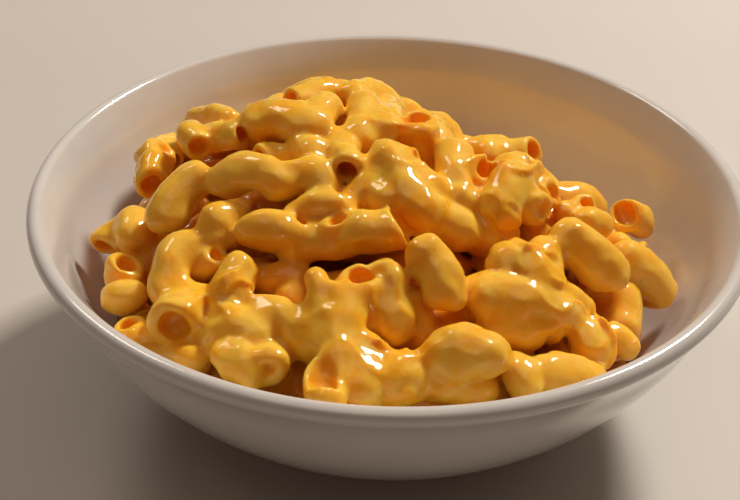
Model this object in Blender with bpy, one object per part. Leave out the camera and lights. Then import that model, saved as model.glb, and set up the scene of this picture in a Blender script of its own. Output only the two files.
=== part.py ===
"""Macaroni in cheese sauce, heaped in the round bowl that it is served in.

Lengths are in millimetres in the constants and functions, and become metres
where a mesh is made. The origin is on the table under the middle of the bowl,
+Z is up and +X is to the right of someone who sits at -Y.
"""

import math
import random

import bmesh
import bpy
import numpy as np

MM = 0.001

# The bowl: its outer wall rises from a foot ring and flares out to a round lip.
RIM_RADIUS = 82.5
RIM_HEIGHT = 55.6
WALL = 4.0
LIP_RADIUS = WALL / 2.0
FOOT_RADIUS = 40.5
FOOT_WIDTH = 5.0
FOOT_HEIGHT = 2.5
FOOT_CHAMFER = 1.0
BASE_UNDERSIDE = 2.2
WALL_START_RADIUS = 41.5
WALL_ROUNDNESS = 1.75
FLARE_HEIGHT = 8.0
LIP_TILT = math.radians(35.0)
BOWL_SEGMENTS = 84
WALL_STEPS = 7
LIP_STEPS = 6

# The heap: a lopsided dome of elbow macaroni, highest a little behind the middle.
PEAK_X = -6.0
PEAK_Y = 18.0
PEAK_HEIGHT = 69.0
FALL_X = 0.0032
FALL_FRONT = 0.0030
FALL_BACK = 0.0065
EDGE_POWER = 3.2
SIDE_POWER = 1.0 / 1.6
BASE_SINK = 5.0
HEAP_GAP = 0.6
HEAP_RINGS = 28
UNDERSIDE_HEIGHTS = (22.0, 12.0)

# Worked out: where the wall's outer side ends and the round of the lip begins.
LIP_CENTER_RADIUS = RIM_RADIUS - LIP_RADIUS
LIP_CENTER_HEIGHT = RIM_HEIGHT - LIP_RADIUS
WALL_TOP_RADIUS = LIP_CENTER_RADIUS + LIP_RADIUS * math.cos(LIP_TILT)
WALL_TOP_HEIGHT = LIP_CENTER_HEIGHT - LIP_RADIUS * math.sin(LIP_TILT)
FLARE = math.tan(LIP_TILT) * FLARE_HEIGHT / 2.0

# How high the heap touches the wall: a mean height, and a rise or a dip about
# each of these directions, as (azimuth, half width in degrees, millimetres).
CONTACT_HEIGHT = 34.0
CONTACT_CHANGES = ((270.0, 60.0, 12.0), (185.0, 35.0, 4.0), (32.0, 50.0, -10.0))

# Where the heap is lower than its dome, behind: x, y, half width and depth.
DIPS = ((20.0, 36.0, 22.0, 15.0), (44.0, 25.0, 14.0, 9.0), (-33.0, 38.0, 14.0, 4.0))

# The elbows that give the heap its outline, one to a line, from the table up:
# x, y and z of one end of its middle line, x, y and z of the other end, the bow
# of the line between them, the lean of that bow in degrees, and the width.
# A lean of 0 bows upwards, and 90 bows to the side that lies at the right hand
# of someone who walks from the first end to the second.
ELBOWS = (
    (-66, -10, 42, -55, -14, 49, 2, -20, 9),
    (-59, -23, 45, -54, -16, 44, 1, 180, 9),
    (-65, -28, 38, -52, -32, 44, 1, -30, 9),
    (-56, -41, 38, -49, -38, 42, 1, -40, 8),
    (-44, -46, 45, -37, -40, 47, 1, -60, 10),
    (-42, -27, 53, -36, -42, 50, 8, 90, 9),
    (-38, -20, 58, -37, -27, 55, 1, 120, 9),
    (-31, -37, 55, -28, -51, 47, 1, 90, 9),
    (-37, -50, 44, -18, -53, 47, 2, -20, 9),
    (-37, -53, 40, -27, -56, 42, 2, -40, 8),
    (-23, -60, 47, -21, -67, 45, 1, 100, 9),
    (-12, -64, 47, -9, -57, 42, 1, 170, 9),
    (-12, -44, 56, -13, -55, 49, 2, 70, 9),
    (-8, -41, 56, -5, -63, 46, 4, -70, 9),
    (4, -63, 47, 0, -67, 45, 1, -90, 10),
    (1, -39, 56, 1, -51, 50, 2, -90, 9),
    (8, -36, 60, 12, -45, 55, 1, -60, 10),
    (22, -36, 56, 34, -40, 49, 2, -40, 10),
    (19, -43, 51, 31, -43, 46, 1, -40, 9),
    (30, -26, 55, 33, -34, 51, 1, -50, 7),
    (11, -60, 49, 20, -56, 49, 6, -30, 9),
    (27, -55, 46, 42, -54, 41, 1, -40, 9),
    (40, -45, 44, 47, -44, 41, 2, -30, 9),
    (50, -25, 42, 49, -36, 39, 1, -90, 9),
    (38, -24, 55, 47, -26, 49, 1, -30, 10),
    (53, -15, 45, 62, -21, 40, 2, -30, 9),
    (55, 0, 49, 57, -4, 44, 1, -30, 8),
    (39, -9, 55, 46, -1, 52, 1, -30, 7),
    (31, -13, 60, 35, -13, 58, 2, -40, 10),
    (22, -7, 64, 24, -18, 60, 1, 80, 8),
    (21, 1, 64, 34, 13, 59, 2, -30, 7),
    (14, 0, 65, 16, -17, 61, 2, 80, 7),
    (6, 6, 68, 9, -4, 64, 0, 50, 10),
    (-1, -7, 67, 15, -23, 62, 1, 90, 10),
    (8, -26, 61, 18, -24, 58, 0, 150, 9),
    (-8, -32, 61, 2, -30, 62, 1, -30, 10),
    (-21, -34, 59, -11, -29, 62, 3, 140, 9),
    (-29, -30, 59, -20, -33, 60, 2, -30, 9),
    (-40, -13, 59, -25, -17, 62, 4, -30, 9),
    (-23, -18, 62, -14, -20, 63, 3, -30, 8),
    (-42, -7, 60, -50, -19, 52, 2, 60, 9),
    (-53, 26, 51, -36, 11, 62, 4, -20, 7),
    (-60, 12, 50, -53, 7, 57, 1, -20, 8),
    (-56, 1, 51, -57, 13, 49, 1, -90, 8),
    (-33, 7, 64, -17, -3, 66, 4, -30, 9),
    (-25, 19, 65, -16, 20, 67, 2, -30, 7),
    (-10, 16, 68, -2, 16, 68, 4, -30, 7),
    (-2, 21, 67, -3, 5, 67, 1, -100, 7),
    (-10, -14, 66, -11, -1, 66, 0, -130, 7),
)
ELBOW_SAMPLES = 9

# Elbows that lie every way fill the rest of the heap.
FILL_SEED = 7
FILL_SPACING = 12.0
FILL_REACH = 58.0
FILL_LENGTH = 16.0
FILL_WIDTH = 9.0
FILL_BOW = 3.0
FILL_SINK = 4.5


def clear_scene():
    """Remove whatever the open file holds."""
    for item in list(bpy.data.objects):
        bpy.data.objects.remove(item, do_unlink=True)


def make_material(name, color, roughness):
    """Return a plain Principled material."""
    material = bpy.data.materials.new(name)
    material.use_nodes = True
    shader = material.node_tree.nodes["Principled BSDF"]
    shader.inputs["Base Color"].default_value = (*color, 1.0)
    shader.inputs["Roughness"].default_value = roughness
    shader.inputs["Metallic"].default_value = 0.0
    return material


def add_object(name, mesh, material):
    """Put a mesh into the scene under its node's name."""
    mesh.materials.append(material)
    item = bpy.data.objects.new(name, mesh)
    bpy.context.collection.objects.link(item)
    return item


def outer_radius(z):
    """Radius of the wall's outer side at a height between the foot and the lip.

    A power curve leaves the foot and turns upright, and a parabola near the top
    flares it out to meet the tilted lip.
    """
    share = (z - FOOT_HEIGHT) / (WALL_TOP_HEIGHT - FOOT_HEIGHT)
    flare = FLARE * max(0.0, (z - WALL_TOP_HEIGHT) / FLARE_HEIGHT + 1.0) ** 2
    reach = WALL_TOP_RADIUS - FLARE - WALL_START_RADIUS
    return WALL_START_RADIUS + reach * (1.0 - (1.0 - share) ** WALL_ROUNDNESS) + flare


def inner_point(z, depth):
    """The point at a depth inside the outer wall, square to the wall at height z."""
    step = 0.2
    low = max(z - step, FOOT_HEIGHT)
    high = min(z + step, WALL_TOP_HEIGHT)
    slope = (outer_radius(high) - outer_radius(low)) / (high - low)
    length = math.hypot(1.0, slope)
    return outer_radius(z) - depth / length, z + depth * slope / length


def wall_heights():
    """Heights of the wall's rings, from the foot up to the lip."""
    shares = [i / WALL_STEPS for i in range(WALL_STEPS + 1)]
    return [FOOT_HEIGHT + (WALL_TOP_HEIGHT - FOOT_HEIGHT) * share for share in shares]


def inner_radius(z, gap=0.0):
    """Radius at height z of the surface that lies a gap inside the bowl's inner wall."""
    points = [inner_point(height, WALL + gap) for height in wall_heights()]
    radii = [point[0] for point in points]
    heights = [point[1] for point in points]
    return float(np.interp(z, heights, radii))


def bowl_profile():
    """Half section of the bowl, from the base's middle round the outside to the floor."""
    foot_inner = FOOT_RADIUS - FOOT_WIDTH
    outside = [(outer_radius(z), z) for z in wall_heights()]
    inside = [inner_point(z, WALL) for z in wall_heights()]
    lip = []
    for i in range(1, LIP_STEPS):
        angle = math.pi * i / LIP_STEPS - LIP_TILT
        lip.append(
            (
                LIP_CENTER_RADIUS + LIP_RADIUS * math.cos(angle),
                LIP_CENTER_HEIGHT + LIP_RADIUS * math.sin(angle),
            )
        )
    foot = [
        (0.0, BASE_UNDERSIDE),
        (foot_inner - FOOT_CHAMFER, BASE_UNDERSIDE),
        (foot_inner, 0.0),
        (FOOT_RADIUS - FOOT_CHAMFER / 2.0, 0.0),
        (FOOT_RADIUS, FOOT_CHAMFER / 2.0),
    ]
    floor = [(0.0, inside[0][1])]
    return foot + outside + lip + inside[::-1] + floor


def build_bowl():
    """Turn the half section about the upright axis."""
    mesh = bpy.data.meshes.new("bowl")
    work = bmesh.new()
    points = [work.verts.new((r * MM, 0.0, z * MM)) for r, z in bowl_profile()]
    edges = [work.edges.new(pair) for pair in zip(points, points[1:])]
    bmesh.ops.spin(
        work,
        geom=points + edges,
        cent=(0.0, 0.0, 0.0),
        axis=(0.0, 0.0, 1.0),
        angle=math.tau,
        steps=BOWL_SEGMENTS,
        use_merge=True,
    )
    bmesh.ops.remove_doubles(work, verts=work.verts, dist=0.01 * MM)
    bmesh.ops.recalc_face_normals(work, faces=work.faces)
    work.to_mesh(mesh)
    work.free()
    mesh.shade_smooth()
    glaze = make_material("glazed_stoneware", (0.80, 0.76, 0.71), 0.15)
    return add_object("bowl", mesh, glaze)


def contact_height(azimuth):
    """Height at which the heap meets the wall in a direction given in degrees."""
    height = CONTACT_HEIGHT
    for center, width, change in CONTACT_CHANGES:
        turn = (azimuth - center + 180.0) % 360.0 - 180.0
        height += change * math.exp(-((turn / width) ** 2))
    return height


def skin_height(x, y):
    """Height of the smooth dome that the elbows lie in."""
    azimuth = math.degrees(math.atan2(y, x))
    contact = contact_height(azimuth)
    share = min(math.hypot(x, y) / inner_radius(contact, HEAP_GAP), 1.0)
    fall_y = FALL_BACK if y > PEAK_Y else FALL_FRONT
    dome = PEAK_HEIGHT - FALL_X * (x - PEAK_X) ** 2 - fall_y * (y - PEAK_Y) ** 2
    for dip_x, dip_y, half_width, depth in DIPS:
        dome -= depth * math.exp(-((x - dip_x) ** 2 + (y - dip_y) ** 2) / half_width**2)
    return contact + (dome - contact) * (1.0 - share**EDGE_POWER) ** SIDE_POWER


def elbow_path(row):
    """Points along an elbow's middle line: a straight chord and a sideways parabola."""
    x1, y1, z1, x2, y2, z2, bow, lean, width = row
    start = np.array((x1, y1, z1), dtype=float)
    end = np.array((x2, y2, z2), dtype=float)
    along = (end - start) / np.linalg.norm(end - start)
    side = np.cross(along, (0.0, 0.0, 1.0))
    side /= np.linalg.norm(side)
    up = np.cross(side, along)
    out = math.cos(math.radians(lean)) * up + math.sin(math.radians(lean)) * side
    share = np.linspace(0.0, 1.0, ELBOW_SAMPLES)[:, None]
    return start + (end - start) * share + out * (bow * 4.0 * share * (1.0 - share)), width / 2.0


def fill_rows():
    """Elbows on a loose grid, each turned its own way, lying among the placed ones."""
    draw = random.Random(FILL_SEED)
    steps = int(FILL_REACH // FILL_SPACING)
    rows = []
    for i in range(-steps, steps + 1):
        for j in range(-steps, steps + 1):
            x = FILL_SPACING * (i + draw.uniform(-0.3, 0.3))
            y = FILL_SPACING * (j + draw.uniform(-0.3, 0.3))
            turn = draw.uniform(0.0, math.pi)
            if math.hypot(x, y) > FILL_REACH:
                continue
            dx = FILL_LENGTH / 2.0 * math.cos(turn)
            dy = FILL_LENGTH / 2.0 * math.sin(turn)
            ends = ((x - dx, y - dy), (x + dx, y + dy))
            start, end = ((u, v, skin_height(u, v) - FILL_SINK) for u, v in ends)
            rows.append((*start, *end, FILL_BOW, 0, FILL_WIDTH))
    return rows


def top_heights(xs, ys):
    """Height of the heap's top: the sunk skin, or the crest of any elbow above it."""
    heights = np.array([skin_height(x, y) for x, y in zip(xs, ys)]) - BASE_SINK
    for row in ELBOWS + tuple(fill_rows()):
        path, radius = elbow_path(row)
        for x, y, z in path:
            room = radius**2 - (xs - x) ** 2 - (ys - y) ** 2
            crest = z + np.sqrt(np.maximum(room, 0.0))
            heights = np.where(room > 0.0, np.maximum(heights, crest), heights)
    return heights


def heap_top():
    """Vertices and faces of the top: rings of six more points each, from the middle out."""
    vertices = [(0.0, 0.0, 0.0)]
    for ring in range(1, HEAP_RINGS + 1):
        count = 6 * ring
        for i in range(count):
            azimuth = 360.0 * i / count
            contact = contact_height(azimuth)
            radius = inner_radius(contact, HEAP_GAP) * ring / HEAP_RINGS
            angle = math.radians(azimuth)
            vertices.append((radius * math.cos(angle), radius * math.sin(angle), contact))
    points = np.array(vertices)
    rim = 6 * HEAP_RINGS
    inner = points[:-rim]
    floor_level = points[-rim:, 2].min()
    inner[:, 2] = np.maximum(top_heights(inner[:, 0], inner[:, 1]), floor_level)
    faces = []
    for ring in range(1, HEAP_RINGS + 1):
        first_in = 1 + 3 * (ring - 1) * (ring - 2)
        first_out = 1 + 3 * ring * (ring - 1)
        for side in range(6):
            for i in range(ring):
                a = first_out + side * ring + i
                b = first_out + (side * ring + i + 1) % (6 * ring)
                c = 0 if ring == 1 else first_in + (side * (ring - 1) + i) % (6 * (ring - 1))
                faces.append((a, b, c))
                if i > 0:
                    d = first_in + side * (ring - 1) + i - 1
                    faces.append((a, c, d))
    return points, faces


def build_heap():
    """Close the top with an underside that follows the bowl's inner wall at a small gap."""
    top, faces = heap_top()
    vertices = [tuple(point) for point in top]
    rim = 6 * HEAP_RINGS
    above = list(range(len(vertices) - rim, len(vertices)))
    ring_count = rim // 2
    floor_height = inner_point(FOOT_HEIGHT, WALL)[1] + HEAP_GAP
    for height in UNDERSIDE_HEIGHTS + (floor_height,):
        first = len(vertices)
        radius = inner_radius(height, HEAP_GAP)
        for i in range(ring_count):
            angle = math.tau * i / ring_count
            vertices.append((radius * math.cos(angle), radius * math.sin(angle), height))
        below = list(range(first, first + ring_count))
        for i in range(ring_count):
            follow = (i + 1) % ring_count
            if len(above) == rim:
                a, b, c = above[2 * i], above[2 * i + 1], above[(2 * i + 2) % rim]
                faces.append((b, a, below[i]))
                faces.append((b, below[i], below[follow]))
                faces.append((c, b, below[follow]))
            else:
                faces.append((above[follow], above[i], below[i], below[follow]))
        above = below
    middle = len(vertices)
    vertices.append((0.0, 0.0, floor_height))
    faces += [(above[(i + 1) % ring_count], above[i], middle) for i in range(ring_count)]
    mesh = bpy.data.meshes.new("macaroni_heap")
    mesh.from_pydata([(x * MM, y * MM, z * MM) for x, y, z in vertices], [], faces)
    mesh.validate()
    mesh.shade_smooth()
    cheese = make_material("cheese_sauce", (0.80, 0.42, 0.06), 0.30)
    return add_object("macaroni_heap", mesh, cheese)


def main():
    clear_scene()
    build_bowl()
    build_heap()


main()
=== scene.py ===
"""Looks for a bowl of macaroni and cheese: hollow elbows in thick sauce, heaped in a glazed bowl.

Sizes are in metres in the settings, the meshes and the materials, and in
millimetres in the constants and functions that work the shapes out.
"""

import math
from collections import namedtuple

import bpy
import numpy as np
from bpy.props import FloatProperty, FloatVectorProperty, IntProperty, PointerProperty
from bpy.types import Operator, Panel, PropertyGroup
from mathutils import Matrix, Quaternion, Vector


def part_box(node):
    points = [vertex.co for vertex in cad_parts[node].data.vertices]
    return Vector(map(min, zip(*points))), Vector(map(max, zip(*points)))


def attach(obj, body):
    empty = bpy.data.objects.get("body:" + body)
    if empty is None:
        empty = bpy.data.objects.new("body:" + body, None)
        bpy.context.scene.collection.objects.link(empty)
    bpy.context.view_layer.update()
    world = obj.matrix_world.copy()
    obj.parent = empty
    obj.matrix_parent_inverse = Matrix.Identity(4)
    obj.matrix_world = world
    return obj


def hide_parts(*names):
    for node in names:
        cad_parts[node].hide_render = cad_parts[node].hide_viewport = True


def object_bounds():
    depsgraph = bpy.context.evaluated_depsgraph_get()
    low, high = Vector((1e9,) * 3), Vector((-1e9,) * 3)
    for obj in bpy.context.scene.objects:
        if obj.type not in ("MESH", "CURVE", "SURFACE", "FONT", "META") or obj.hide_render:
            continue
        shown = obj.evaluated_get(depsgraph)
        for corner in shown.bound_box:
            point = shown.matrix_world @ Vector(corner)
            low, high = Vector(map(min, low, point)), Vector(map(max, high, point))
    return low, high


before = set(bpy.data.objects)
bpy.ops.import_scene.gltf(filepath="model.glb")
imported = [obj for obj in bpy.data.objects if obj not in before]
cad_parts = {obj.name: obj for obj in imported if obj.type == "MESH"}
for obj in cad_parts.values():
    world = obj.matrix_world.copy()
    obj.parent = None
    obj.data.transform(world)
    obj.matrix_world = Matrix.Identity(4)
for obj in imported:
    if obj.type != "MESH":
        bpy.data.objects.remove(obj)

bl_info = {
    "name": "Macaroni and Cheese",
    "version": (1, 0, 0),
    "blender": (4, 5, 0),
    "location": "View3D > Sidebar > Macaroni",
    "description": "Makes a glazed bowl heaped with elbow macaroni in cheese sauce",
    "category": "Add Mesh",
}

MM = 0.001
CAD_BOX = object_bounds()
RIM_RADIUS = CAD_BOX[1][0] / MM
RIM_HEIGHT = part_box("bowl")[1][2] / MM

# The bowl's half section, in millimetres, as the solid has it.
WALL = 4.0
LIP_RADIUS = WALL / 2.0
LIP_TILT = math.radians(35.0)
FOOT_RADIUS = 40.5
FOOT_INNER = 35.5
FOOT_HEIGHT = 2.5
FOOT_CHAMFER = 1.0
FOOT_BEVEL = 0.5
BASE_UNDERSIDE = 2.2
BASE_FLAT = 3.0
FLOOR_EASE = 2.0
PROFILE_STEPS = 48
LIP_STEPS = 22
SLOPE_STEP = 0.2
WALL_START_RADIUS = 41.5
WALL_ROUNDNESS = 1.75
FLARE_HEIGHT = 8.0
FLARE = math.tan(LIP_TILT) * FLARE_HEIGHT / 2.0
LIP_CENTER_RADIUS = RIM_RADIUS - LIP_RADIUS
LIP_CENTER_HEIGHT = RIM_HEIGHT - LIP_RADIUS
WALL_TOP_RADIUS = LIP_CENTER_RADIUS + LIP_RADIUS * math.cos(LIP_TILT)
WALL_TOP_HEIGHT = LIP_CENTER_HEIGHT - LIP_RADIUS * math.sin(LIP_TILT)

# The dome that the elbows lie in, in millimetres. A change of the contact height
# has its direction and width in degrees, and a dip its x, y, half width and depth.
PEAK = (-6.0, 18.0, 69.0)
FALL_X = 0.0032
FALL_FRONT = 0.0030
FALL_BACK = 0.0065
EDGE_GAP = 0.6
EDGE_POWER = 3.2
SIDE_POWER = 1.0 / 1.6
CONTACT_HEIGHT = 34.0
CONTACT_CHANGES = ((270.0, 60.0, 12.0), (185.0, 35.0, 4.0), (32.0, 50.0, -10.0))
DIPS = ((20.0, 36.0, 22.0, 15.0), (44.0, 25.0, 14.0, 9.0), (-33.0, 38.0, 14.0, 4.0))

# Where the sauce lies crumpled over the elbows: x, y and half width.
CRUMPLED = (
    (6.0, -9.0, 9.0),
    (28.0, -32.0, 9.0),
    (29.0, -12.0, 8.0),
    (2.0, -63.0, 7.0),
    (42.0, -46.0, 8.0),
    (-30.0, -48.0, 6.0),
)

# The ridges of crumpled sauce: for each size of ridge its seed, its spacing and
# its height. A ridge is where its noise is less than RIDGE_WIDTH from zero.
RIDGES = ((8, 6.0, 1.3), (9, 3.6, 0.9))
RIDGE_WIDTH = 0.2
RIDGES_ELSEWHERE = 0.16

# The room that the macaroni is worked out in: its lowest and highest corners.
ROOM = ((-73.0, -77.0, 18.0), (73.0, 71.0, 79.0))

# The highest number that a noise is blended from.
NOISE_PEAK = 1.6

# A distance that counts as far from everything, in millimetres.
FAR = 9.0

# The ends of an elbow. Lengths are in millimetres, and shares are of half its width.
OPEN_ROUNDING = 0.6
END_ROUNDING = {"n": 0.3, "s": 0.45, "c": 0.9}
CAP_SHARE = 0.6
NARROW_SHARE = 0.58
BORE_DEPTH = 7.0
BORE_SHARE_OF_ARC = 0.8
BORE_FILLET = 3.0
MOUTH_REACH = 1.5
MOUTH_FILLET = 0.6
DIMPLE_SHARE = 0.32
DIMPLE_FILLET = 1.2

# The elbows that fill the heap, in millimetres: each layer's depth under the dome
# and its spacing, and the ranges of an elbow's own sizes. A shift is a share of the
# spacing, tilts are in radians, and leans in degrees.
FILL_LAYERS = ((10.0, 12.0), (4.2, 11.0))
HIGH_LAYER = 5.0
FILL_GRID = 66.0
FILL_RADIUS = 63.0
FILL_CLEARANCE = 10.0
FILL_SHIFT = 0.35
FILL_TILT = 0.35
FILL_LENGTHS = (11.0, 17.0)
FILL_BOWS = (2.5, 6.0)
FILL_LEANS = (-80.0, 80.0)
FILL_WIDTHS = (8.0, 9.6)
FILL_BOW_SUNK = 0.4
FILL_LOWEST = 7.0
FILL_PULL = 0.96

# The unevenness of the sauced elbows, in millimetres: how far and how closely they
# are bent, and how high and how closely their skin is rippled.
BENDS = ((0, 1.1, 8.5), (20, 0.3, 4.5))
FINE_RIPPLE = 2.1
FINE_RIPPLE_HEIGHT = 0.45
BROAD_RIPPLE = 4.2
BROAD_RIPPLE_HEIGHT = 0.5
CALM_PATCHES = 9.0
CARVED_FILLET = 0.5
SKIN_REACH = 4.0
WALL_GAP = 0.25

# How far the masks of the relief and the hollows take to fade, and that of the
# deep places, in millimetres.
FADE = 0.9
DEEP_FADE = 8.0

# The core under the elbows, in millimetres.
CORE_DEPTH = 12.0
CORE_EDGE_DROP = 9.0
CORE_OVERLAP = 3.0
CORE_GAP = 0.4
CORE_RIPPLE = 0.7

# The camera: where it stands and what it looks at, in metres, its turn about its
# own line of sight, and its lens and the width of its sensor in millimetres.
CAMERA_PLACE = (0.0, -0.2591, 0.2094)
CAMERA_AIM = (-0.0039, -0.0293, 0.0556)
CAMERA_ROLL = math.radians(1.375)
CAMERA_LENS = 63.24
SENSOR_WIDTH = 36.0

# Heights between which the bare clay under the bowl gives way to glaze, in metres.
BARE_HEIGHTS = (0.0004, 0.0009)

# The numbers of a Mix node's colour sockets.
MIX_FIRST, MIX_SECOND, MIX_RESULT = 6, 7, 2

# The stage: the floor's half side, the point that the lights aim at, in metres,
# and the colours and shares of the light.
FLOOR_HALF = 2000.0
BOWL_MIDDLE = (0.0, 0.0, 0.05)
WARM_COLOR = (1.0, 0.92, 0.82)
FILL_COLOR = (1.0, 0.76, 0.62)
SKY_COLOR = (1.0, 0.72, 0.58)
SKY_STRENGTH = 0.10
SECOND_SHARE = 0.15

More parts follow.
